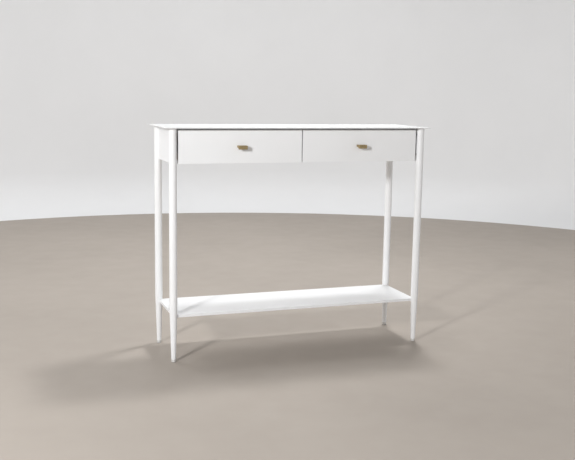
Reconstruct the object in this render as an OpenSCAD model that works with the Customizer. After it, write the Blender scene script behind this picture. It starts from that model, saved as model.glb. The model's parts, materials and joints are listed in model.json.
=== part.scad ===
// Narrow console table: a thin plate top over a case with two drawers, four slender
// round legs that taper to small glides, and a low shelf let into the legs.
// The origin is on the floor under the middle of the table. +X is to the right,
// the drawers open towards -Y, and +Z is up. All sizes are in millimetres.

/* [Overall] */
// Width of the top plate
table_w = 1000; // [830:1:1400]
// Depth of the top plate, front to back
table_d = 300; // [250:1:450]
// Height from the floor to the top surface
table_h = 820; // [650:1:1000]
// How far the plate reaches past the leg axes at each end
overhang_x = 31; // [18:1:60]
// How far the plate reaches past the leg axes at the front and the back
overhang_y = 24; // [22:1:40]

/* [Top plate] */
// Thickness of the steel plate
plate_t = 3; // [2:0.5:8]
// Radius of the studs welded under the plate
stud_r = 2.5; // [2:0.5:3]
// Distance of the studs from the walls of each bay
stud_from_wall = 60; // [30:1:120]

/* [Legs] */
// Radius of a leg at its thickest, where the taper begins
leg_r = 13.8; // [11:0.1:17]
// Radius of a leg at the top
leg_top_r = 13.4; // [11:0.1:17]
// Radius of a leg at its foot
foot_r = 8.2; // [7.8:0.1:10]
// Height at which the taper towards the foot begins
taper_h = 187; // [185:1:300]
// Height of a glide
glide_h = 10; // [6:0.5:12]
// Radius of a glide
glide_r = 7.8; // [6:0.1:8.2]

/* [Shelf] */
// Height of the shelf's top face above the floor
shelf_h = 169; // [120:1:180]
// Thickness of the shelf
shelf_t = 10; // [8:0.5:18]

/* [Case] */
// Height of the case, from its lower edge to the plate
case_h = 121; // [100:1:180]
// Thickness of the side, back and middle panels
panel_t = 12; // [10:0.5:18]
// Thickness of the two flat rails that carry the plate
rail_t = 15; // [12:0.5:22]
// Width of the rails, front to back
rail_w = 60; // [48:1:70]

/* [Drawer fronts] */
// Thickness of a drawer front
front_t = 16; // [12:0.5:22]
// Gap between a drawer front and the side panel
front_end_gap = 7; // [3:0.5:10]
// Gap between the two drawer fronts
front_mid_gap = 4; // [2:0.5:6]
// Gap between a drawer front and the plate
front_top_gap = 6; // [2:0.5:8]
// Thickness of the soft bumpers behind a drawer front
bumper_t = 1; // [0.5:0.1:3]

/* [Drawer boxes] */
// Thickness of the boards of a drawer box
box_t = 12; // [10:0.5:15]
// Height of a drawer box above the lower edge of the case
box_floor_gap = 10; // [6:1:20]
// Free height between the plate's studs and a drawer box
box_headroom = 6; // [4:1:15]
// Free depth between a drawer box and the back panel
box_rear_gap = 22; // [10:1:30]
// Thickness of the drawer bottom
bottom_t = 6; // [4:0.5:8]
// Height of the drawer bottom above the lower edge of its box
bottom_lift = 8; // [6:0.5:12]
// Depth of the grooves that hold the drawer bottom
groove_depth = 5; // [3:0.5:6]

/* [Ball runners] */
// Space that a runner takes between the drawer box and the case
runner_t = 12.7; // [12.7:0.1:15.3]
// Height of the runner that is fixed to the case
runner_h = 35; // [32:1:45]
// Thickness of the runner steel
runner_metal = 1.5; // [1.2:0.1:2]
// Length of runner that stays engaged when the drawer is open
runner_overlap = 50; // [40:1:60]
// Diameter of the bearing balls
ball_d = 4.4; // [3:0.1:5]
// Number of balls in each row
balls_per_row = 4; // [2:1:4]

/* [Pulls] */
// Width of a pull
pull_w = 32; // [28:1:80]
// Height of a pull at its front
pull_h = 13; // [11:0.5:16]
// Height of a pull where it meets the drawer front
pull_root_h = 7.5; // [7.5:0.5:9]
// How far a pull stands out of the drawer front
pull_d = 23; // [18:0.5:23]
// Thickness of the lip at the front of a pull
pull_lip = 4; // [3:0.5:5]
// Height of a pull's top above the middle of the drawer front
pull_rise = 4.5; // [0:0.5:6]
// Distance between the two screws of a pull
pull_screw_pitch = 16; // [14:1:20]

/* [Fasteners] */
// Radius of the wood screws in the legs and drawer fronts
screw_r = 2; // [1.5:0.1:2.2]
// Radius of the small screws in the runners and glides
small_screw_r = 1.75; // [1.5:0.05:2]
// Radius of the machine screws in the pulls
pull_screw_r = 2; // [1.5:0.1:2]
// Radius of the wooden dowels
dowel_r = 3; // [2.5:0.5:4]
// Length of the dowels
dowel_len = 30; // [24:1:36]
// Length of a dowel that stands in a panel's face
dowel_bite = 8; // [5:0.5:8]
// Radius of the steel pins between the shelf and the legs
pin_r = 2.5; // [2:0.25:3]
// Clearance around screws, dowels, pins and balls in their holes
fit_gap = 0.1; // [0.05:0.05:0.2]

/* [Hidden] */
$fn = 64;

// Planes through the leg axes, which are also the outer faces of the case and the shelf
axis_x = table_w / 2 - overhang_x;
axis_y = table_d / 2 - overhang_y;

// Levels of the case
case_top = table_h - plate_t;
case_bottom = case_top - case_h;
rail_bottom = case_top - rail_t;
shelf_bottom = shelf_h - shelf_t;

// Inner faces of the case
wall_x = axis_x - panel_t;
divider_x = panel_t / 2;
back_y = axis_y - panel_t;

// Drawer fronts: their faces are flush with the front edges of the side panels
front_y = -axis_y;
front_back_y = front_y + front_t;
front_x0 = front_mid_gap / 2;
front_x1 = wall_x - front_end_gap;
front_mid_x = (front_x0 + front_x1) / 2;
front_top = case_top - front_top_gap;
front_mid_z = (case_bottom + front_top) / 2;

// Rails under the plate, clear of the bumpers behind the drawer fronts
rail_y0 = front_back_y + bumper_t + fit_gap;
front_rail_mid = rail_y0 + rail_w / 2;
rear_rail_mid = back_y - rail_w / 2;
rail_mid_z = rail_bottom + rail_t / 2;

// Studs with flange nuts that hold the plate on the rails
nut_h = 5;
nut_flange_r = 5.5;
nut_flange_h = 1.2;
nut_flats = 8;
stud_end = 1;
stud_len = rail_t + nut_h + stud_end;
stud_xs = [divider_x + stud_from_wall, wall_x - stud_from_wall];

// Drawer boxes
box_x0 = divider_x + runner_t;
box_x1 = wall_x - runner_t;
box_y0 = front_back_y;
box_y1 = back_y - box_rear_gap;
box_z0 = case_bottom + box_floor_gap;
box_z1 = case_top - stud_len - box_headroom;
box_mid_z = (box_z0 + box_z1) / 2;
inner_x0 = box_x0 + box_t;
inner_x1 = box_x1 - box_t;
inner_y0 = box_y0 + box_t;
inner_y1 = box_y1 - box_t;
bottom_z = box_z0 + bottom_lift;
bottom_play = 0.5;

// Rows of corner dowels and of front screws, between the bottom and the upper edge of a box
bottom_top_z = bottom_z + bottom_t;
box_dowel_zs = [bottom_top_z + 8, box_z1 - 22];
front_screw_zs = [bottom_top_z + 10, box_z1 - 24];

// Ball runners
runner_y0 = box_y0 + 2;
runner_len = box_y1 - runner_y0;
travel = runner_len - runner_overlap;
runner_screw_inset = 15;
runner_screw_ys = [runner_y0 + runner_screw_inset, runner_y0 + runner_len - runner_screw_inset];
screw_tip_gap = 2;
runner_screw_len = runner_metal + (panel_t - screw_tip_gap) / 2;
cage_t = 0.8;
cage_gap = 0.65;
ball_play = 0.3;
outer_flange = runner_t - 2 * runner_metal;
outer_inner_z = runner_h / 2 - runner_metal;
ball_z = outer_inner_z - ball_play - ball_d / 2;
inner_tip_x = runner_metal + 2 * cage_gap + cage_t;
inner_half_h = ball_z - ball_d / 2 - ball_play;
ball_x = (inner_tip_x + outer_flange) / 2;
cage_x0 = runner_metal + cage_gap;
cage_y0 = runner_y0 + travel / 2;
ball_pitch = runner_overlap / balls_per_row;
ball_hole_gap = 0.15;

// Leg screws, two for each leg, from inside the case
leg_screw_y = axis_y - leg_top_r / 2;
leg_screw_len = panel_t + 0.75 * leg_top_r;
leg_screw_inset = 24;
leg_screw_zs = [case_bottom + leg_screw_inset, case_top - leg_screw_inset];
leg_screw_head_r = 4;

// Dowels of the case
dowel_from_screw = 16;
rail_dowel_dy = 18;
back_dowel_zs = [leg_screw_zs[0] + dowel_from_screw, leg_screw_zs[1] - dowel_from_screw];
rail_dowel_ys = [
    for (mid = [front_rail_mid, rear_rail_mid])
        for (s = [-1, 1])
            mid + s * rail_dowel_dy
];
back_mid_y = back_y + panel_t / 2;

// Shelf pins, placed by the radius that the legs have at their level
pin_z = shelf_h - shelf_t / 2;
pin_leg_r = foot_r + (leg_r - foot_r) * (pin_z - glide_h) / (taper_h - glide_h);
pin_y = axis_y - pin_leg_r / 2;
pin_in_leg = pin_leg_r / 2;
pin_in_shelf = 20;

// Glides and their screws
glide_round = 1.8;
glide_recess_r = 3.8;
glide_recess_h = 3;
glide_screw_head_r = 3.4;
glide_screw_head_h = 2.2;
glide_screw_len = 22;

// Pulls and the screws that go in from the drawers' insides
pan_head_r = 4;
pan_head_h = 2.4;
pull_screw_reach = 9;
pull_z1 = front_mid_z + pull_rise;
pull_z0 = pull_z1 - pull_h;
pull_screw_z = pull_z1 - 4;
front_screw_reach = 12;
front_screw_inset = 50;
bumper_r = 4;
bumper_inset = 40;
bumper_z = front_top - bumper_r - 0.5;

// The scoop under a pull: a cylinder from the back of the lip up to the foot of the root
scoop_r = 22;
scoop_run = pull_d - pull_lip;
scoop_rise = pull_h - pull_root_h;
scoop_chord = norm([scoop_run, scoop_rise]);
scoop_drop = sqrt(scoop_r * scoop_r - scoop_chord * scoop_chord / 4);
scoop_y = front_y - scoop_run / 2 + scoop_drop * scoop_rise / scoop_chord;
scoop_z = pull_z0 + scoop_rise / 2 - scoop_drop * scoop_run / scoop_chord;

SIDES = ["left", "right"];
DRAWER_PARTS = [
    "front", "box_front", "box_end_side", "box_middle_side", "box_back", "bottom",
    "box_dowels", "front_screws", "bumpers", "pull", "pull_screws",
    "end_runner", "middle_runner", "runner_screws", "ball_cages", "bearing_balls"
];
BAY_PARTS = ["end_case_runner", "middle_case_runner"];
LEGS = ["front_left", "front_right", "rear_left", "rear_right"];

// A box between two opposite corners
module block(low, high) {
    translate(low)
        cube(high - low);
}

// Children on the right (k = 1) or mirrored to the left (k = -1)
module on_side(k) {
    mirror([k < 0 ? 1 : 0, 0, 0])
        children();
}

// Children on both sides
module both_sides() {
    for (k = [-1, 1])
        on_side(k) children();
}

// Children at the back (k = 1) or mirrored to the front (k = -1)
module on_end(k) {
    mirror([0, k < 0 ? 1 : 0, 0])
        children();
}

// Children drawn for a wall at x = 0 that faces +X, put on a wall of the right bay:
// the side panel (end = true) or the middle panel
module on_bay_wall(end) {
    if (end)
        translate([wall_x, 0, 0])
            mirror([1, 0, 0])
                children();
    else
        translate([divider_x, 0, 0])
            children();
}

// A countersunk screw along +X, its head flush with x = 0
module countersunk_screw(length, r, head_r) {
    rotate([0, 90, 0])
        rotate_extrude()
            polygon([[0, 0], [head_r, 0], [r, head_r - r], [r, length - r], [0, length]]);
}

// The hole for it
module countersunk_hole(length, r, head_r) {
    rotate([0, 90, 0])
        rotate_extrude()
            polygon([
                [0, -1], [head_r + fit_gap, -1], [head_r + fit_gap, 0],
                [r + fit_gap, head_r - r], [r + fit_gap, length + fit_gap],
                [0, length + fit_gap]
            ]);
}

// A screw along +Z with a flat-based head below z = 0
module pan_screw(length, r, head_r, head_h) {
    rotate_extrude()
        polygon([
            [0, -head_h], [head_r - head_h / 3, -head_h], [head_r, -head_h / 2], [head_r, 0],
            [r, 0], [r, length - r], [0, length]
        ]);
}

// A plain hole along +Z, open at z = 0
module plain_hole(length, r) {
    translate([0, 0, -1])
        cylinder(h = length + 1 + fit_gap, r = r + fit_gap);
}

module steel() {
    color("gainsboro") children();
}

module lacquer() {
    color("white") children();
}

module box_wood() {
    color("burlywood") children();
}

// ---- Top plate ----

module at_studs() {
    for (y = [front_rail_mid, rear_rail_mid])
        for (x = stud_xs)
            both_sides()
                translate([x, y, case_top])
                    children();
}

module top_plate() {
    lacquer()
        block([-table_w / 2, -table_d / 2, case_top], [table_w / 2, table_d / 2, table_h]);
}

module plate_studs() {
    steel()
        at_studs()
            translate([0, 0, -stud_len])
                cylinder(h = stud_len, r = stud_r);
}

module stud_nuts() {
    steel()
        at_studs()
            translate([0, 0, -rail_t - nut_h])
                difference() {
                    union() {
                        cylinder(h = nut_h, d = nut_flats / cos(30), $fn = 6);
                        translate([0, 0, nut_h - nut_flange_h])
                            cylinder(h = nut_flange_h, r = nut_flange_r);
                    }
                    translate([0, 0, -1])
                        cylinder(h = nut_h + 2, r = stud_r + fit_gap);
                }
}

// ---- Case ----

// Dowels between the side panels and what ends on them, as holes or as dowels
module end_dowels(gap) {
    points = concat(
        [for (y = rail_dowel_ys) [y, rail_mid_z]],
        [for (z = back_dowel_zs) [back_mid_y, z]]
    );
    for (p = points)
        translate([wall_x + dowel_bite + gap, p[0], p[1]])
            rotate([0, -90, 0])
                cylinder(h = dowel_len + 2 * gap, r = dowel_r + gap);
}

// Dowels between the middle panel and the rails and the back panel
module divider_dowels(gap) {
    for (y = rail_dowel_ys)
        translate([0, y, rail_bottom + dowel_bite + gap])
            mirror([0, 0, 1])
                cylinder(h = dowel_len + 2 * gap, r = dowel_r + gap);
    for (z = back_dowel_zs)
        translate([0, back_y + dowel_bite + gap, z])
            rotate([90, 0, 0])
                cylinder(h = dowel_len + 2 * gap, r = dowel_r + gap);
}

module case_dowels() {
    color("tan") {
        both_sides() end_dowels(0);
        divider_dowels(0);
    }
}

module at_leg_screws() {
    for (k = [-1, 1])
        for (z = leg_screw_zs)
            translate([wall_x, k * leg_screw_y, z])
                children();
}

module side_panel() {
    lacquer()
        difference() {
            block([wall_x, -axis_y, case_bottom], [axis_x, axis_y, case_top]);
            end_dowels(fit_gap);
            at_leg_screws() countersunk_hole(leg_screw_len, screw_r, leg_screw_head_r);
            on_bay_wall(true) runner_screw_holes();
        }
}

module back_panel() {
    lacquer()
        difference() {
            block([-wall_x, back_y, case_bottom], [wall_x, axis_y, case_top]);
            both_sides() end_dowels(fit_gap);
            divider_dowels(fit_gap);
        }
}

module middle_panel() {
    lacquer()
        difference() {
            block([-divider_x, rail_y0, case_bottom], [divider_x, back_y, rail_bottom]);
            divider_dowels(fit_gap);
            both_sides() on_bay_wall(false) runner_screw_holes();
        }
}

module rail(mid) {
    lacquer()
        difference() {
            block([-wall_x, mid - rail_w / 2, rail_bottom], [wall_x, mid + rail_w / 2, case_top]);
            both_sides() end_dowels(fit_gap);
            divider_dowels(fit_gap);
            at_studs()
                translate([0, 0, -rail_t - 1])
                    cylinder(h = rail_t + 2, r = stud_r + 2 * fit_gap);
        }
}

// ---- Legs, shelf and glides ----

// Outline of a leg: a straight taper up from the foot, then nearly straight to the top
leg_outline = [
    [0, glide_h], [foot_r, glide_h], [leg_r, taper_h], [leg_top_r, case_top], [0, case_top]
];

// The rear right leg. Its inner quarter is cut away for the corner of the case
// and for the corner of the shelf.
module leg() {
    reach = 2 * leg_r;
    lacquer()
        difference() {
            translate([axis_x, axis_y, 0])
                rotate_extrude()
                    polygon(leg_outline);
            block([axis_x - reach, axis_y - reach, case_bottom], [axis_x, axis_y, case_top + 1]);
            block([axis_x - reach, axis_y - reach, shelf_bottom], [axis_x, axis_y, shelf_h]);
            at_leg_screws() countersunk_hole(leg_screw_len, screw_r, leg_screw_head_r);
            shelf_pin(fit_gap);
            translate([axis_x, axis_y, glide_recess_h])
                plain_hole(glide_screw_len, small_screw_r);
        }
}

module leg_screws() {
    steel()
        both_sides()
            at_leg_screws() countersunk_screw(leg_screw_len, screw_r, leg_screw_head_r);
}

module shelf_pin(gap) {
    translate([axis_x - pin_in_shelf - gap, pin_y, pin_z])
        rotate([0, 90, 0])
            cylinder(h = pin_in_shelf + pin_in_leg + 2 * gap, r = pin_r + gap);
}

module shelf_pins() {
    steel()
        both_sides()
            for (k = [-1, 1])
                on_end(k) shelf_pin(0);
}

module shelf() {
    lacquer()
        difference() {
            block([-axis_x, -axis_y, shelf_bottom], [axis_x, axis_y, shelf_h]);
            both_sides()
                for (k = [-1, 1])
                    on_end(k) shelf_pin(fit_gap);
        }
}

module glide() {
    rounded_edge = [
        for (i = [0 : 6])
            let (a = -90 + 15 * i)
                [glide_r - glide_round * (1 - cos(a)), glide_round * (1 + sin(a))]
    ];
    color("lightgrey")
        translate([axis_x, axis_y, 0])
            difference() {
                rotate_extrude()
                    polygon(concat([[0, 0]], rounded_edge, [[glide_r, glide_h], [0, glide_h]]));
                translate([0, 0, -1])
                    cylinder(h = glide_recess_h + 1, r = glide_recess_r);
                plain_hole(glide_h, small_screw_r);
            }
}

module glide_screws() {
    steel()
        both_sides()
            for (k = [-1, 1])
                translate([axis_x, k * axis_y, glide_recess_h])
                    pan_screw(glide_screw_len, small_screw_r, glide_screw_head_r,
                        glide_screw_head_h);
}

// ---- Ball runners, drawn on a wall at x = 0 that faces +X ----

module at_runner_screws() {
    for (y = runner_screw_ys)
        translate([0, y, box_mid_z])
            children();
}

module runner_screw(gap_side) {
    steel()
        translate([gap_side, 0, 0])
            mirror([1, 0, 0])
                countersunk_screw(runner_screw_len, small_screw_r,
                    small_screw_r + runner_metal);
}

module runner_screw_hole(gap_side) {
    translate([gap_side, 0, 0])
        mirror([1, 0, 0])
            countersunk_hole(runner_screw_len, small_screw_r, small_screw_r + runner_metal);
}

// Holes of the case runner's screws, in the wall behind it
module runner_screw_holes() {
    at_runner_screws() runner_screw_hole(runner_metal);
}

// A steel channel: its web from x = web to x = web + runner_metal, its flanges
// reaching from x0 to x1
module channel(web, x0, x1, half_h) {
    y1 = runner_y0 + runner_len;
    translate([0, 0, box_mid_z]) {
        block([web, runner_y0, -half_h], [web + runner_metal, y1, half_h]);
        for (s = [0, 1])
            mirror([0, 0, s])
                block([x0, runner_y0, half_h - runner_metal], [x1, y1, half_h]);
    }
}

module case_runner() {
    steel()
        difference() {
            channel(0, 0, outer_flange, runner_h / 2);
            runner_screw_holes();
        }
}

// The drawer's half of the runner, screwed to the box side at x = runner_t
module drawer_runner() {
    steel()
        difference() {
            channel(runner_t - runner_metal, inner_tip_x, runner_t, inner_half_h);
            drawer_runner_screw_holes();
        }
}

module drawer_runner_screw_holes() {
    at_runner_screws()
        mirror([1, 0, 0])
            runner_screw_hole(-(runner_t - runner_metal));
}

module drawer_runner_screws() {
    at_runner_screws()
        mirror([1, 0, 0])
            runner_screw(-(runner_t - runner_metal));
}

module at_balls() {
    for (i = [0 : balls_per_row - 1])
        for (s = [-1, 1])
            translate([ball_x, cage_y0 + (i + 0.5) * ball_pitch, box_mid_z + s * ball_z])
                children();
}

module bearing_balls() {
    color("silver")
        at_balls() sphere(d = ball_d);
}

module ball_cage() {
    half_h = ball_z + cage_t / 2;
    y1 = cage_y0 + runner_overlap;
    color("darkgrey")
        difference() {
            translate([0, 0, box_mid_z]) {
                block([cage_x0, cage_y0, -half_h], [cage_x0 + cage_t, y1, half_h]);
                for (s = [0, 1])
                    mirror([0, 0, s])
                        block([cage_x0, cage_y0, half_h - cage_t],
                            [ball_x + ball_d / 2 + ball_play, y1, half_h]);
            }
            at_balls()
                cylinder(h = 2 * cage_t, d = ball_d + 2 * ball_hole_gap, center = true);
        }
}

module case_runner_screws() {
    both_sides()
        for (end = [true, false])
            on_bay_wall(end)
                at_runner_screws() runner_screw(runner_metal);
}

// ---- Drawers, drawn for the right bay ----

// Children on both walls of the bay
module both_bay_walls() {
    for (end = [true, false])
        on_bay_wall(end) children();
}

module at_pull_screws() {
    for (s = [-1, 1])
        translate([front_mid_x + s * pull_screw_pitch / 2, inner_y0, pull_screw_z])
            rotate([90, 0, 0])
                children();
}

module at_front_screws() {
    for (x = [inner_x0 + front_screw_inset, inner_x1 - front_screw_inset])
        for (z = front_screw_zs)
            translate([x, inner_y0, z])
                rotate([90, 0, 0])
                    children();
}

pull_screw_len = box_t + front_t + pull_screw_reach;
front_screw_len = box_t + front_screw_reach;

module front_fixing_holes() {
    at_pull_screws() plain_hole(pull_screw_len, pull_screw_r);
    at_front_screws() plain_hole(front_screw_len, screw_r);
}

// The space that the drawer bottom takes in the four boards around it
module bottom_space(play) {
    reach = groove_depth - play;
    block([inner_x0 - reach, inner_y0 - reach, bottom_z],
        [inner_x1 + reach, inner_y1 + reach, bottom_top_z]);
}

// Dowels at the corners of a drawer box, as holes or as dowels
module box_corner_dowels(gap) {
    for (x = [box_x0, box_x1])
        for (y = [box_y0 + box_t / 2, box_y1 - box_t / 2])
            for (z = box_dowel_zs) {
                inward = x == box_x0 ? 1 : -1;
                translate([x + inward * (box_t - dowel_bite - gap), y, z])
                    rotate([0, inward * 90, 0])
                        cylinder(h = dowel_len + 2 * gap, r = dowel_r + gap);
            }
}

module drawer_front() {
    lacquer()
        difference() {
            block([front_x0, front_y, case_bottom], [front_x1, front_back_y, front_top]);
            front_fixing_holes();
        }
}

module box_end_board(y) {
    box_wood()
        difference() {
            block([inner_x0, y, box_z0], [inner_x1, y + box_t, box_z1]);
            bottom_space(0);
            box_corner_dowels(fit_gap);
            front_fixing_holes();
        }
}

module box_side_board(end) {
    x = end ? inner_x1 : box_x0;
    box_wood()
        difference() {
            block([x, box_y0, box_z0], [x + box_t, box_y1, box_z1]);
            bottom_space(0);
            box_corner_dowels(fit_gap);
            on_bay_wall(end) drawer_runner_screw_holes();
        }
}

module drawer_bottom() {
    box_wood()
        bottom_space(bottom_play);
}

module drawer_box_dowels() {
    color("tan")
        box_corner_dowels(0);
}

module front_screws() {
    steel()
        at_front_screws() pan_screw(front_screw_len, screw_r, pan_head_r, pan_head_h);
}

module drawer_bumpers() {
    color("whitesmoke")
        for (x = [front_x0 + bumper_inset, front_x1 - bumper_inset])
            translate([x, front_back_y, bumper_z])
                rotate([-90, 0, 0])
                    cylinder(h = bumper_t, r = bumper_r);
}

// A solid pull, scooped out from below behind a lip for the fingertips
module pull() {
    color("darkgoldenrod")
        difference() {
            block([front_mid_x - pull_w / 2, front_y - pull_d, pull_z0],
                [front_mid_x + pull_w / 2, front_y, pull_z1]);
            translate([front_mid_x, scoop_y, scoop_z])
                rotate([0, 90, 0])
                    cylinder(h = pull_w + 2, r = scoop_r, center = true);
            at_pull_screws() plain_hole(pull_screw_len, pull_screw_r);
        }
}

module pull_screws() {
    steel()
        at_pull_screws() pan_screw(pull_screw_len, pull_screw_r, pan_head_r, pan_head_h);
}

// ---- Nodes ----

top_plate();
plate_studs();
stud_nuts();
back_panel();
middle_panel();
rail(front_rail_mid);  // front_rail
rail(rear_rail_mid);  // rear_rail
case_dowels();
leg_screws();
shelf();
shelf_pins();
glide_screws();
case_runner_screws();

for (k = [-1, 1]) {
    side = k < 0 ? "left" : "right";
    drawer = str(side, "_drawer_");
    bay = str(side, "_bay_");
    on_side(k) side_panel();
    for (j = [-1, 1]) {
        corner = str(j < 0 ? "front_" : "rear_", side);
        on_side(k) on_end(j) leg();
        on_side(k) on_end(j) glide();
    }
    for (end = [true, false]) {
        place = end ? "end" : "middle";
        on_side(k) on_bay_wall(end) case_runner();
        on_side(k) on_bay_wall(end) drawer_runner();
        on_side(k) box_side_board(end);
    }
    on_side(k) drawer_front();
    on_side(k) box_end_board(box_y0);
    on_side(k) box_end_board(inner_y1);
    on_side(k) drawer_bottom();
    on_side(k) drawer_box_dowels();
    on_side(k) front_screws();
    on_side(k) drawer_bumpers();
    on_side(k) pull();
    on_side(k) pull_screws();
    on_side(k) both_bay_walls() drawer_runner_screws();
    on_side(k) both_bay_walls() ball_cage();
    on_side(k) both_bay_walls() bearing_balls();
}
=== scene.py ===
import json
import math

import bmesh
import bpy
from mathutils import Matrix, Vector


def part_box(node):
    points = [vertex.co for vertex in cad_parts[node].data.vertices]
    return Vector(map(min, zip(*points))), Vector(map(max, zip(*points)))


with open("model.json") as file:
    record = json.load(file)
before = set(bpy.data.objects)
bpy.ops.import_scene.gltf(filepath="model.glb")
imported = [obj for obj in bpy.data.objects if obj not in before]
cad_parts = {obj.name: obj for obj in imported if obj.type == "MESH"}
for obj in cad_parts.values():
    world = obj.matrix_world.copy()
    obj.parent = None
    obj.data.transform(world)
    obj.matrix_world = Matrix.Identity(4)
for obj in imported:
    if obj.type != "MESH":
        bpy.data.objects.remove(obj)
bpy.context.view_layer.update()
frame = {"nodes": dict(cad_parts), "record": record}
NODES = frame["nodes"]
MM = 0.001


# ---- Shader helpers ----

# Most of a noise texture's values lie between these two
MIDDLE = (0.3, 0.7)
# How far two normals turn from each other before an edge starts to show, and where it shows in full
EDGE_BEND = (0.02, 0.22)
# The Mix node's own numbers for its colour sockets
MIX_SHARE, MIX_A, MIX_B, MIX_RESULT = 0, 6, 7, 2


class Shader:
    """A material's node tree, with short names for the nodes that the finishes use."""

    def __init__(self, name):
        self.material = bpy.data.materials.new(name)
        self.material.use_nodes = True
        self.tree = self.material.node_tree
        self.tree.nodes.clear()
        output = self.tree.nodes.new("ShaderNodeOutputMaterial")
        self.bsdf = self.tree.nodes.new("ShaderNodeBsdfPrincipled")
        self.link(self.bsdf.outputs[0], output.inputs["Surface"])
        self.place = self.tree.nodes.new("ShaderNodeTexCoord").outputs["Object"]
        self.normal = None

    def link(self, source, target):
        self.tree.links.new(source, target)

    def feed(self, socket, value):
        """Sets a socket to a number or colour, or links a node's output to it."""
        if isinstance(value, bpy.types.NodeSocket):
            self.link(value, socket)
        elif socket.type == "RGBA":
            socket.default_value = (*value, 1)
        else:
            socket.default_value = value

    def set(self, **values):
        """Sets the Principled shader's sockets: base_color is its Base Color, and so on."""
        for name, value in values.items():
            title = name.replace("_", " ").title().replace("Ior", "IOR")
            self.feed(self.bsdf.inputs[title], value)

    def stretched(self, x, y, z):
        """The piece's own coordinates, multiplied along each axis."""
        node = self.tree.nodes.new("ShaderNodeVectorMath")
        node.operation = "MULTIPLY"
        self.link(self.place, node.inputs[0])
        node.inputs[1].default_value = (x, y, z)
        return node.outputs[0]

    def axis(self, letter):
        """One of the piece's own coordinates, in metres."""
        node = self.tree.nodes.new("ShaderNodeSeparateXYZ")
        self.link(self.place, node.inputs[0])
        return node.outputs[letter]

    def noise(self, scale, detail=3.0, rough=0.5, vector=None, distortion=0.0):
        node = self.tree.nodes.new("ShaderNodeTexNoise")
        self.link(vector or self.place, node.inputs["Vector"])
        node.inputs["Scale"].default_value = scale
        node.inputs["Detail"].default_value = detail
        node.inputs["Roughness"].default_value = rough
        node.inputs["Distortion"].default_value = distortion
        return node.outputs["Fac"]

    def cells(self, scale, vector=None, feature="F1"):
        """The distance from the middle of the nearest cell."""
        node = self.tree.nodes.new("ShaderNodeTexVoronoi")
        node.feature = feature
        self.link(vector or self.place, node.inputs["Vector"])
        node.inputs["Scale"].default_value = scale
        return node.outputs["Distance"]

    def math(self, operation, a, b=0.0, clamp=False):
        node = self.tree.nodes.new("ShaderNodeMath")
        node.operation = operation
        node.use_clamp = clamp
        self.feed(node.inputs[0], a)
        self.feed(node.inputs[1], b)
        return node.outputs[0]

    def span(self, value, low, high, to_low=0.0, to_high=1.0):
        """value from low..high, mapped smoothly to to_low..to_high."""
        node = self.tree.nodes.new("ShaderNodeMapRange")
        node.interpolation_type = "SMOOTHSTEP"
        self.feed(node.inputs["Value"], value)
        node.inputs["From Min"].default_value = low
        node.inputs["From Max"].default_value = high
        node.inputs["To Min"].default_value = to_low
        node.inputs["To Max"].default_value = to_high
        return node.outputs[0]

    def mix(self, share, a, b):
        node = self.tree.nodes.new("ShaderNodeMix")
        node.data_type = "RGBA"
        self.feed(node.inputs[MIX_SHARE], share)
        self.feed(node.inputs[MIX_A], a)
        self.feed(node.inputs[MIX_B], b)
        return node.outputs[MIX_RESULT]

    def tint(self, colour, other, share, most):
        """The colour, moved towards the other one by the share, and by no more than most."""
        return self.mix(self.math("MULTIPLY", share, most), colour, other)

    def bump(self, height, depth, strength):
        """Adds a bump of that depth in metres to the ones before it."""
        node = self.tree.nodes.new("ShaderNodeBump")
        node.inputs["Strength"].default_value = strength
        node.inputs["Distance"].default_value = depth
        self.link(height, node.inputs["Height"])
        if self.normal is not None:
            self.link(self.normal, node.inputs["Normal"])
        self.normal = node.outputs[0]
        self.set(normal=self.normal)

    def edges(self, radius):
        """1 along convex and concave edges, fading to 0 over the radius."""
        bevel = self.tree.nodes.new("ShaderNodeBevel")
        bevel.samples = 4
        bevel.inputs["Radius"].default_value = radius
        true_normal = self.tree.nodes.new("ShaderNodeNewGeometry").outputs["Normal"]
        dot = self.tree.nodes.new("ShaderNodeVectorMath")
        dot.operation = "DOT_PRODUCT"
        self.link(bevel.outputs[0], dot.inputs[0])
        self.link(true_normal, dot.inputs[1])
        bend = self.math("SUBTRACT", 1.0, dot.outputs["Value"])
        return self.span(bend, *EDGE_BEND)


# ---- Finishes, one function for each material slot ----

LACQUER = (0.853, 0.864, 0.878)
LACQUER_WARM = (0.836, 0.841, 0.846)
LACQUER_RUBBED = (0.76, 0.75, 0.725)
POWDER = (0.74, 0.748, 0.752)
POWDER_WARM = (0.715, 0.72, 0.718)
POWDER_RUBBED = (0.78, 0.775, 0.755)
BIRCH_ALONG = (0.82, 0.71, 0.55)
BIRCH_CROSSED = (0.66, 0.52, 0.36)
BIRCH_FIGURE = (0.70, 0.57, 0.40)
BIRCH_FLECK = (0.52, 0.38, 0.24)
BIRCH_GLUE = (0.36, 0.24, 0.14)
BEECH_LIGHT = (0.68, 0.50, 0.32)
BEECH_DARK = (0.58, 0.40, 0.24)
BEECH_FLECK = (0.34, 0.21, 0.12)
ZINC_LIGHT = (0.66, 0.67, 0.69)
ZINC_DARK = (0.56, 0.575, 0.60)
RUNNER_LIGHT = (0.66, 0.67, 0.68)
RUNNER_DARK = (0.52, 0.53, 0.545)
CAGE_LIGHT = (0.50, 0.51, 0.52)
CAGE_DARK = (0.36, 0.37, 0.385)
BALL_LIGHT = (0.80, 0.81, 0.83)
BALL_DARK = (0.68, 0.69, 0.71)
WORN_STEEL = (0.74, 0.74, 0.73)
BRASS_LIGHT = (0.47, 0.375, 0.215)
BRASS_DARK = (0.37, 0.285, 0.15)
BRASS_BLOOM = (0.24, 0.17, 0.085)
BRASS_WORN = (0.80, 0.65, 0.38)
NYLON_LIGHT = (0.66, 0.66, 0.645)
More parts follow.
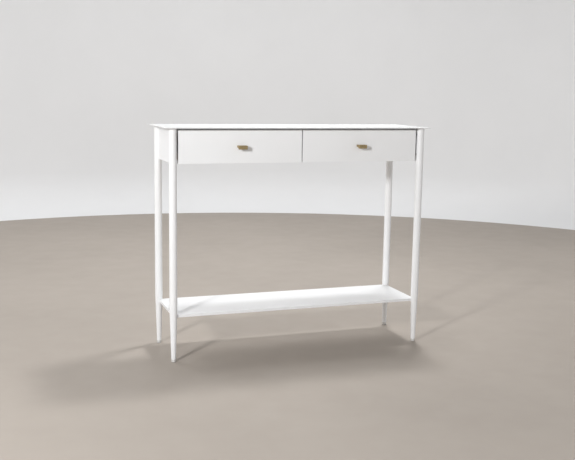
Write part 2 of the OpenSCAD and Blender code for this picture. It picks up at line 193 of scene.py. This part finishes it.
NYLON_DARK = (0.56, 0.56, 0.545)
NYLON_SCUFF = (0.24, 0.22, 0.20)
SILICONE_LIGHT = (0.84, 0.84, 0.83)
SILICONE_DARK = (0.74, 0.74, 0.72)

# Two crossed plies of the drawers' plywood are this thick
PLY_PAIR = 2.6 * MM
# The glides are scuffed up to this height
SCUFF_HEIGHT = 2.6 * MM


def white_lacquer(name, grain_axis):
    """Satin lacquer sprayed on wood: fine orange peel, a trace of grain, soft rubbed edges."""
    s = Shader(name)
    cloud = s.span(s.noise(3.2), *MIDDLE)
    rubbed = s.math("MULTIPLY", s.edges(0.9 * MM), s.span(s.noise(38), 0.42, 0.66), clamp=True)
    smear = s.span(s.noise(14, 4.0), *MIDDLE, 0.32, 0.41)
    colour = s.tint(LACQUER, LACQUER_WARM, cloud, 0.55)
    s.set(
        base_color=s.tint(colour, LACQUER_RUBBED, rubbed, 0.4),
        roughness=s.math("SUBTRACT", smear, s.math("MULTIPLY", rubbed, 0.08)),
        ior=1.5,
        coat_weight=0.12,
        coat_roughness=0.22,
    )
    along, across = 26, 620
    factors = {"X": (along, across, across), "Z": (across, across, along)}[grain_axis]
    s.bump(s.noise(1.0, 3.0, 0.6, s.stretched(*factors)), 0.03 * MM, 0.35)
    s.bump(s.noise(430, 1.5), 0.05 * MM, 0.45)
    s.bump(s.span(s.cells(85), 0.03, 0.09, 1.0, 0.0), 0.05 * MM, 0.25)
    return s.material


def white_powder_coat(name):
    """Powder coat on steel: a fine even pebble, a little duller than the lacquer."""
    s = Shader(name)
    cloud = s.span(s.noise(2.4), *MIDDLE)
    colour = s.tint(POWDER, POWDER_WARM, cloud, 0.5)
    s.set(
        base_color=s.tint(colour, POWDER_RUBBED, s.edges(0.7 * MM), 0.3),
        roughness=s.span(s.noise(18, 4.0), *MIDDLE, 0.56, 0.66),
        ior=1.48,
    )
    s.bump(s.noise(900, 2.0, 0.6), 0.04 * MM, 0.6)
    s.bump(s.cells(1300, feature="SMOOTH_F1"), 0.03 * MM, 0.5)
    return s.material


def birch_plywood(name, thickness_axis, length_axis, start, thickness, plies):
    """Clear-sealed birch plywood: crossed plies through the thickness, veneer on the faces."""
    s = Shader(name)
    depth = s.math("DIVIDE", s.math("SUBTRACT", s.axis(thickness_axis), start), thickness)
    depth = s.math("MULTIPLY", s.math("MINIMUM", s.math("MAXIMUM", depth, 0.002), 0.998), plies)
    crossed = s.math("MODULO", s.math("FLOOR", depth), 2.0)
    width_axis = ({"X", "Y", "Z"} - {thickness_axis, length_axis}).pop()
    figures, pores = [], []
    for grain in (length_axis, width_axis):
        broad = s.stretched(*(5.5 if a == grain else 150.0 for a in "XYZ"))
        fine = s.stretched(*(40.0 if a == grain else 1500.0 for a in "XYZ"))
        figures.append(s.noise(1.0, 5.0, 0.6, broad, 0.6))
        pores.append(s.noise(1.0, 2.0, 0.5, fine))
    figure = s.mix(crossed, *figures)
    pore = s.mix(crossed, *pores)
    joint = s.math("ABSOLUTE", s.math("SUBTRACT", s.math("FRACT", depth), 0.5))
    colour = s.tint(BIRCH_ALONG, BIRCH_CROSSED, crossed, 0.75)
    colour = s.tint(colour, BIRCH_FIGURE, s.span(figure, 0.32, 0.72), 0.5)
    colour = s.tint(colour, BIRCH_FLECK, s.span(pore, 0.56, 0.74), 0.35)
    s.set(
        base_color=s.tint(colour, BIRCH_GLUE, s.span(joint, 0.44, 0.5), 0.55),
        roughness=s.span(figure, *MIDDLE, 0.46, 0.58),
        coat_weight=0.15,
        coat_roughness=0.35,
    )
    s.bump(pore, 0.06 * MM, 0.5)
    s.bump(figure, 0.05 * MM, 0.3)
    return s.material


def beech_dowel(name):
    """Raw turned beech with its short dark flecks."""
    s = Shader(name)
    ring = s.noise(260, 3.0, 0.6)
    fleck = s.span(s.cells(900, s.stretched(0.25, 1.0, 1.0)), 0.05, 0.25, 1.0, 0.0)
    colour = s.mix(s.span(ring, *MIDDLE), BEECH_LIGHT, BEECH_DARK)
    s.set(
        base_color=s.tint(colour, BEECH_FLECK, fleck, 0.6),
        roughness=s.span(ring, *MIDDLE, 0.6, 0.75),
    )
    s.bump(ring, 0.1 * MM, 0.5)
    return s.material


def zinc_steel(name):
    """Bright zinc plating: a bluish metal with faint spangle and dull wear on the edges."""
    s = Shader(name)
    spangle = s.noise(420, 3.0, 0.6)
    colour = s.mix(s.span(spangle, *MIDDLE), ZINC_LIGHT, ZINC_DARK)
    s.set(
        base_color=s.tint(colour, WORN_STEEL, s.edges(0.25 * MM), 0.4),
        roughness=s.span(spangle, *MIDDLE, 0.26, 0.4),
        metallic=1.0,
    )
    s.bump(spangle, 0.03 * MM, 0.5)
    return s.material


def rolled_steel(name, light, dark, smoothest):
    """Rolled or pressed steel with drawn lines along its length, which lies along Y."""
    s = Shader(name)
    lines = s.noise(1.0, 4.0, 0.65, s.stretched(2200, 22, 2200))
    blotch = s.span(s.noise(70, 4.0), 0.35, 0.7)
    colour = s.mix(s.span(lines, *MIDDLE), light, dark)
    colour = s.tint(colour, tuple(0.7 * c for c in dark), blotch, 0.3)
    sheen = s.span(lines, *MIDDLE, smoothest, smoothest + 0.14)
    s.set(
        base_color=s.tint(colour, WORN_STEEL, s.edges(0.3 * MM), 0.35),
        roughness=s.math("ADD", sheen, s.math("MULTIPLY", blotch, 0.08)),
        metallic=1.0,
        anisotropic=0.5,
    )
    s.bump(lines, 0.03 * MM, 0.5)
    return s.material


def bearing_steel(name):
    """Polished balls with hair-fine rolling marks."""
    s = Shader(name)
    marks = s.noise(1.0, 4.0, 0.7, s.stretched(2600, 300, 2600))
    s.set(
        base_color=s.mix(s.span(marks, 0.4, 0.7), BALL_LIGHT, BALL_DARK),
        roughness=s.span(marks, 0.35, 0.75, 0.07, 0.2),
        metallic=1.0,
    )
    s.bump(marks, 0.01 * MM, 0.3)
    return s.material


def antique_brass(name):
    """Aged brushed brass: lines along X, brown bloom in patches, bright worn edges."""
    s = Shader(name)
    lines = s.noise(1.0, 4.0, 0.65, s.stretched(30, 2600, 2600))
    bloom = s.span(s.noise(160, 5.0, 0.6), 0.36, 0.7)
    worn = s.math("MULTIPLY", s.edges(0.6 * MM), s.span(s.noise(300), 0.3, 0.6), clamp=True)
    colour = s.mix(s.span(lines, *MIDDLE), BRASS_LIGHT, BRASS_DARK)
    colour = s.tint(colour, BRASS_BLOOM, bloom, 0.45)
    sheen = s.span(lines, *MIDDLE, 0.34, 0.46)
    s.set(
        base_color=s.tint(colour, BRASS_WORN, worn, 0.7),
        roughness=s.math("ADD", sheen, s.math("MULTIPLY", bloom, 0.1)),
        metallic=1.0,
        anisotropic=0.45,
    )
    s.bump(lines, 0.04 * MM, 0.6)
    s.bump(s.noise(700), 0.02 * MM, 0.3)
    return s.material


def glide_nylon(name):
    """Natural nylon: milky and slightly see-through, scuffed where it meets the floor."""
    s = Shader(name)
    milk = s.span(s.noise(240), *MIDDLE)
    scuff = s.span(s.axis("Z"), 0.0, SCUFF_HEIGHT, 1.0, 0.0)
    scuff = s.math("MULTIPLY", scuff, s.span(s.noise(520, 4.0), 0.35, 0.65), clamp=True)
    sheen = s.span(milk, 0.0, 1.0, 0.36, 0.46)
    s.set(
        base_color=s.tint(s.mix(milk, NYLON_LIGHT, NYLON_DARK), NYLON_SCUFF, scuff, 0.8),
        roughness=s.math("ADD", sheen, s.math("MULTIPLY", scuff, 0.25)),
        subsurface_weight=0.35,
        subsurface_radius=(2.4 * MM, 2.2 * MM, 2.0 * MM),
        subsurface_scale=1.0,
    )
    s.bump(s.noise(900), 0.05 * MM, 0.5)
    return s.material


def bumper_silicone(name):
    """Clear soft silicone with a hazy skin and caught dust."""
    s = Shader(name)
    haze = s.span(s.noise(600), *MIDDLE)
    s.set(
        base_color=s.mix(haze, SILICONE_LIGHT, SILICONE_DARK),
        roughness=s.span(haze, 0.0, 1.0, 0.28, 0.42),
        transmission_weight=0.55,
        ior=1.41,
    )
    s.bump(s.noise(1200, 2.0), 0.04 * MM, 0.5)
    return s.material


# ---- Giving each CAD node its finish ----

def board_plywood(node):
    """Plywood whose plies lie in the board's own thickness."""
    low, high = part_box(node)
    size = {a: high[i] - low[i] for i, a in enumerate("XYZ")}
    thin = min(size, key=size.get)
    long = max(size, key=size.get)
    start = low["XYZ".index(thin)]
    plies = 2 * round(size[thin] / PLY_PAIR) + 1
    return birch_plywood(f"birch_plywood_{node}", thin, long, start, size[thin], plies)


def finishes():
    """Makes one material for each slot, or for each board where the grain follows it."""
    lacquer = {a: white_lacquer(f"white_lacquer_along_{a.lower()}", a) for a in "XZ"}
    makers = {
        "white_powder_coat": white_powder_coat,
        "beech_dowel": beech_dowel,
        "zinc_steel": zinc_steel,
        "bearing_steel": bearing_steel,
        "antique_brass": antique_brass,
        "glide_nylon": glide_nylon,
        "bumper_silicone": bumper_silicone,
    }
    shared = {slot: make(slot) for slot, make in makers.items()}
    shared["runner_steel"] = rolled_steel("runner_steel", RUNNER_LIGHT, RUNNER_DARK, 0.28)
    shared["cage_steel"] = rolled_steel("cage_steel", CAGE_LIGHT, CAGE_DARK, 0.2)
    for row in frame["record"]["subparts"]:
        node, slot = row["node"], row["material_slot"]
        if slot == "white_lacquer":
            material = lacquer["Z" if node.endswith("_leg") else "X"]
        elif slot == "drawer_board":
            material = board_plywood(node)
        else:
            material = shared[slot]
        for place in NODES[node].material_slots:
            place.material = material


# ---- Softened edges ----

# Corners of the mesh closer than this are one corner
SAME_CORNER = 0.001 * MM
# Edges sharper than this stay sharp in the shading
SMOOTH_UP_TO = math.radians(30)
# Faces this close to one plane become one face before the edges are rounded
FLAT_UP_TO = math.radians(0.5)
# Edges sharper than this are rounded
ROUNDED_FROM = math.radians(40)


def clean_shading():
    """A node group that joins the mesh's split corners and shades its rounded faces smooth."""
    group = bpy.data.node_groups.new("clean_shading", "GeometryNodeTree")
    group.interface.new_socket("Geometry", in_out="INPUT", socket_type="NodeSocketGeometry")
    group.interface.new_socket("Geometry", in_out="OUTPUT", socket_type="NodeSocketGeometry")
    first = group.nodes.new("NodeGroupInput")
    weld = group.nodes.new("GeometryNodeMergeByDistance")
    weld.inputs["Distance"].default_value = SAME_CORNER
    angle = group.nodes.new("GeometryNodeInputMeshEdgeAngle")
    sharp = group.nodes.new("FunctionNodeCompare")
    sharp.operation = "GREATER_THAN"
    sharp.inputs["B"].default_value = SMOOTH_UP_TO
    shade = group.nodes.new("GeometryNodeSetMeshNormal")
    last = group.nodes.new("NodeGroupOutput")
    join = group.links.new
    join(first.outputs[0], weld.inputs["Geometry"])
    join(weld.outputs[0], shade.inputs["Mesh"])
    join(angle.outputs["Unsigned Angle"], sharp.inputs["A"])
    join(sharp.outputs[0], shade.inputs["Edge Sharpness"])
    join(shade.outputs[0], last.inputs[0])
    return group


def soften(node, group, radius):
    """Cleans a node's shading and, where radius isn't 0, rounds its sharp edges by modifiers."""
    obj = NODES[node]
    clean = obj.modifiers.new("clean_shading", "NODES")
    clean.node_group = group
    if radius == 0:
        return
    flat = obj.modifiers.new("flat_faces", "DECIMATE")
    flat.decimate_type = "DISSOLVE"
    flat.angle_limit = FLAT_UP_TO
    bevel = obj.modifiers.new("soft_edges", "BEVEL")
    bevel.width = radius
    bevel.segments = 3
    bevel.limit_method = "ANGLE"
    bevel.angle_limit = ROUNDED_FROM
    bevel.use_clamp_overlap = False
    bevel.harden_normals = True


def soften_all():
    group = clean_shading()
    radii = {"top_plate": 0.5 * MM, "shelf": 0.8 * MM, "back_panel": 0.5 * MM}
    for side in ("left", "right"):
        radii[f"{side}_drawer_front"] = 0.7 * MM
        radii[f"{side}_drawer_pull"] = 0.8 * MM
    for node in NODES:
        soften(node, group, radii.get(node, 0))


# ---- Studio ----

FLOOR_LIGHT = (0.40, 0.356, 0.314)
FLOOR_DARK = (0.376, 0.334, 0.294)
WALL_LIGHT = (0.86, 0.866, 0.875)
WALL_DARK = (0.84, 0.846, 0.855)
FLOOR_CENTRE_RADIUS = 1.2
FLOOR_RADIUS = 3.55
# A quarter circle joins the floor to the wall, with a ring every few degrees
COVE_RADIUS = 0.3
COVE_STEP = 15
WALL_HEIGHT = 3.3
# The wall starts this far above the floor, so that their faces don't share a plane
WALL_LIFT = 0.1 * MM
RING_STEPS = 96

WORLD_STRENGTH = 0.12

CAMERA_PLACE = Vector((-1.1176, -3.1032, 0.9567))
CAMERA_YAW = math.radians(-19.70)
CAMERA_PITCH_DOWN = math.radians(9.04)
CAMERA_ROLL = math.radians(0.91)
CAMERA_LENS = 55.8
CAMERA_SENSOR_WIDTH = 36.0
CAMERA_NEAR, CAMERA_FAR = 0.05, 60.0


def stage_material(name, light, dark):
    """A matt painted surface with faint large patches and a fine grain."""
    s = Shader(name)
    s.set(
        base_color=s.mix(s.span(s.noise(1.3, 5.0, 0.6), *MIDDLE), light, dark),
        roughness=s.span(s.noise(9, 4.0), *MIDDLE, 0.7, 0.82),
    )
    s.bump(s.noise(160, 4.0), 0.1 * MM, 0.2)
    return s.material


def ring_band(name, profile, material):
    """A surface of revolution about Z from a list of (radius, height) points.

    A profile that starts at height 0 also gets a flat disc inside its first ring.
    """
    bm = bmesh.new()
    rings = []
    for radius, height in profile:
        rings.append([
            bm.verts.new((radius * math.cos(a), radius * math.sin(a), height))
            for a in (2 * math.pi * i / RING_STEPS for i in range(RING_STEPS))
        ])
    for lower, upper in zip(rings, rings[1:]):
        for i in range(RING_STEPS):
            j = (i + 1) % RING_STEPS
            bm.faces.new((lower[i], upper[i], upper[j], lower[j]))
    if profile[0][1] == 0:
        bm.faces.new(rings[0])
    for face in bm.faces:
        face.smooth = True
    bm.normal_update()
    mesh = bpy.data.meshes.new(name)
    bm.to_mesh(mesh)
    bm.free()
    mesh.materials.append(material)
    obj = bpy.data.objects.new(name, mesh)
    bpy.context.scene.collection.objects.link(obj)


def studio_floor():
    """A plain round floor with a coved wall around it, open above."""
    floor_finish = stage_material("floor_finish", FLOOR_LIGHT, FLOOR_DARK)
    wall_finish = stage_material("wall_finish", WALL_LIGHT, WALL_DARK)
    ring_band("studio_floor", [(FLOOR_CENTRE_RADIUS, 0.0), (FLOOR_RADIUS, 0.0)], floor_finish)
    cove = [
        (FLOOR_RADIUS + COVE_RADIUS * math.sin(a), COVE_RADIUS * (1 - math.cos(a)))
        for a in (math.radians(degrees) for degrees in range(0, 91, COVE_STEP))
    ]
    cove.append((FLOOR_RADIUS + COVE_RADIUS, WALL_HEIGHT))
    ring_band("studio_wall", [(r, z + WALL_LIFT) for r, z in cove], wall_finish)


def area_light(name, place, target, side, power):
    """A square lamp that the camera doesn't see: its side in metres and its power in watts."""
    data = bpy.data.lights.new(name, "AREA")
    data.shape = "SQUARE"
    data.size = side
    data.energy = power
    obj = bpy.data.objects.new(name, data)
    aim = (Vector(target) - Vector(place)).to_track_quat("-Z", "Y")
    obj.matrix_world = Matrix.Translation(place) @ aim.to_matrix().to_4x4()
    obj.visible_camera = False
    bpy.context.scene.collection.objects.link(obj)


def studio_lights():
    """A low key from the front left, a lamp overhead, and soft boxes behind and at the right."""
    area_light("key", (-2.45, -2.22, 1.54), (0, 0, 0.5), 0.3, 73)
    area_light("overhead", (0.80, 0.73, 3.2), (0, 0, 0.2), 0.42, 49)
    area_light("back_left", (-2.1, 2.2, 2.7), (0, 0, 0.4), 1.5, 33)
    area_light("back", (0.8, 3.0, 2.9), (0, 0, 0.4), 1.5, 32)
    area_light("right", (3.0, -1.0, 2.2), (0, 0, 0.5), 1.5, 8)
    world = bpy.data.worlds.new("studio_world")
    world.use_nodes = True
    background = world.node_tree.nodes["Background"]
    background.inputs["Color"].default_value = (1, 1, 1, 1)
    background.inputs["Strength"].default_value = WORLD_STRENGTH
    bpy.context.scene.world = world


def studio_camera():
    """The camera stands to the front left, a little above the top, and looks slightly down."""
    sin, cos = math.sin, math.cos
    ahead = Vector((
        -sin(CAMERA_YAW) * cos(CAMERA_PITCH_DOWN),
        cos(CAMERA_YAW) * cos(CAMERA_PITCH_DOWN),
        -sin(CAMERA_PITCH_DOWN),
    ))
    level = Vector((cos(CAMERA_YAW), sin(CAMERA_YAW), 0))
    above = level.cross(ahead)
    right = cos(CAMERA_ROLL) * level + sin(CAMERA_ROLL) * above
    up = cos(CAMERA_ROLL) * above - sin(CAMERA_ROLL) * level
    data = bpy.data.cameras.new("camera")
    data.lens = CAMERA_LENS
    data.sensor_width = CAMERA_SENSOR_WIDTH
    data.clip_start = CAMERA_NEAR
    data.clip_end = CAMERA_FAR
    obj = bpy.data.objects.new("camera", data)
    turn = Matrix((right, up, -ahead)).transposed().to_4x4()
    obj.matrix_world = Matrix.Translation(CAMERA_PLACE) @ turn
    bpy.context.scene.collection.objects.link(obj)
    bpy.context.scene.camera = obj


studio_camera()
finishes()
soften_all()
studio_floor()
studio_lights()
bpy.context.scene.view_settings.view_transform = "Standard"

bpy.context.view_layer.update()
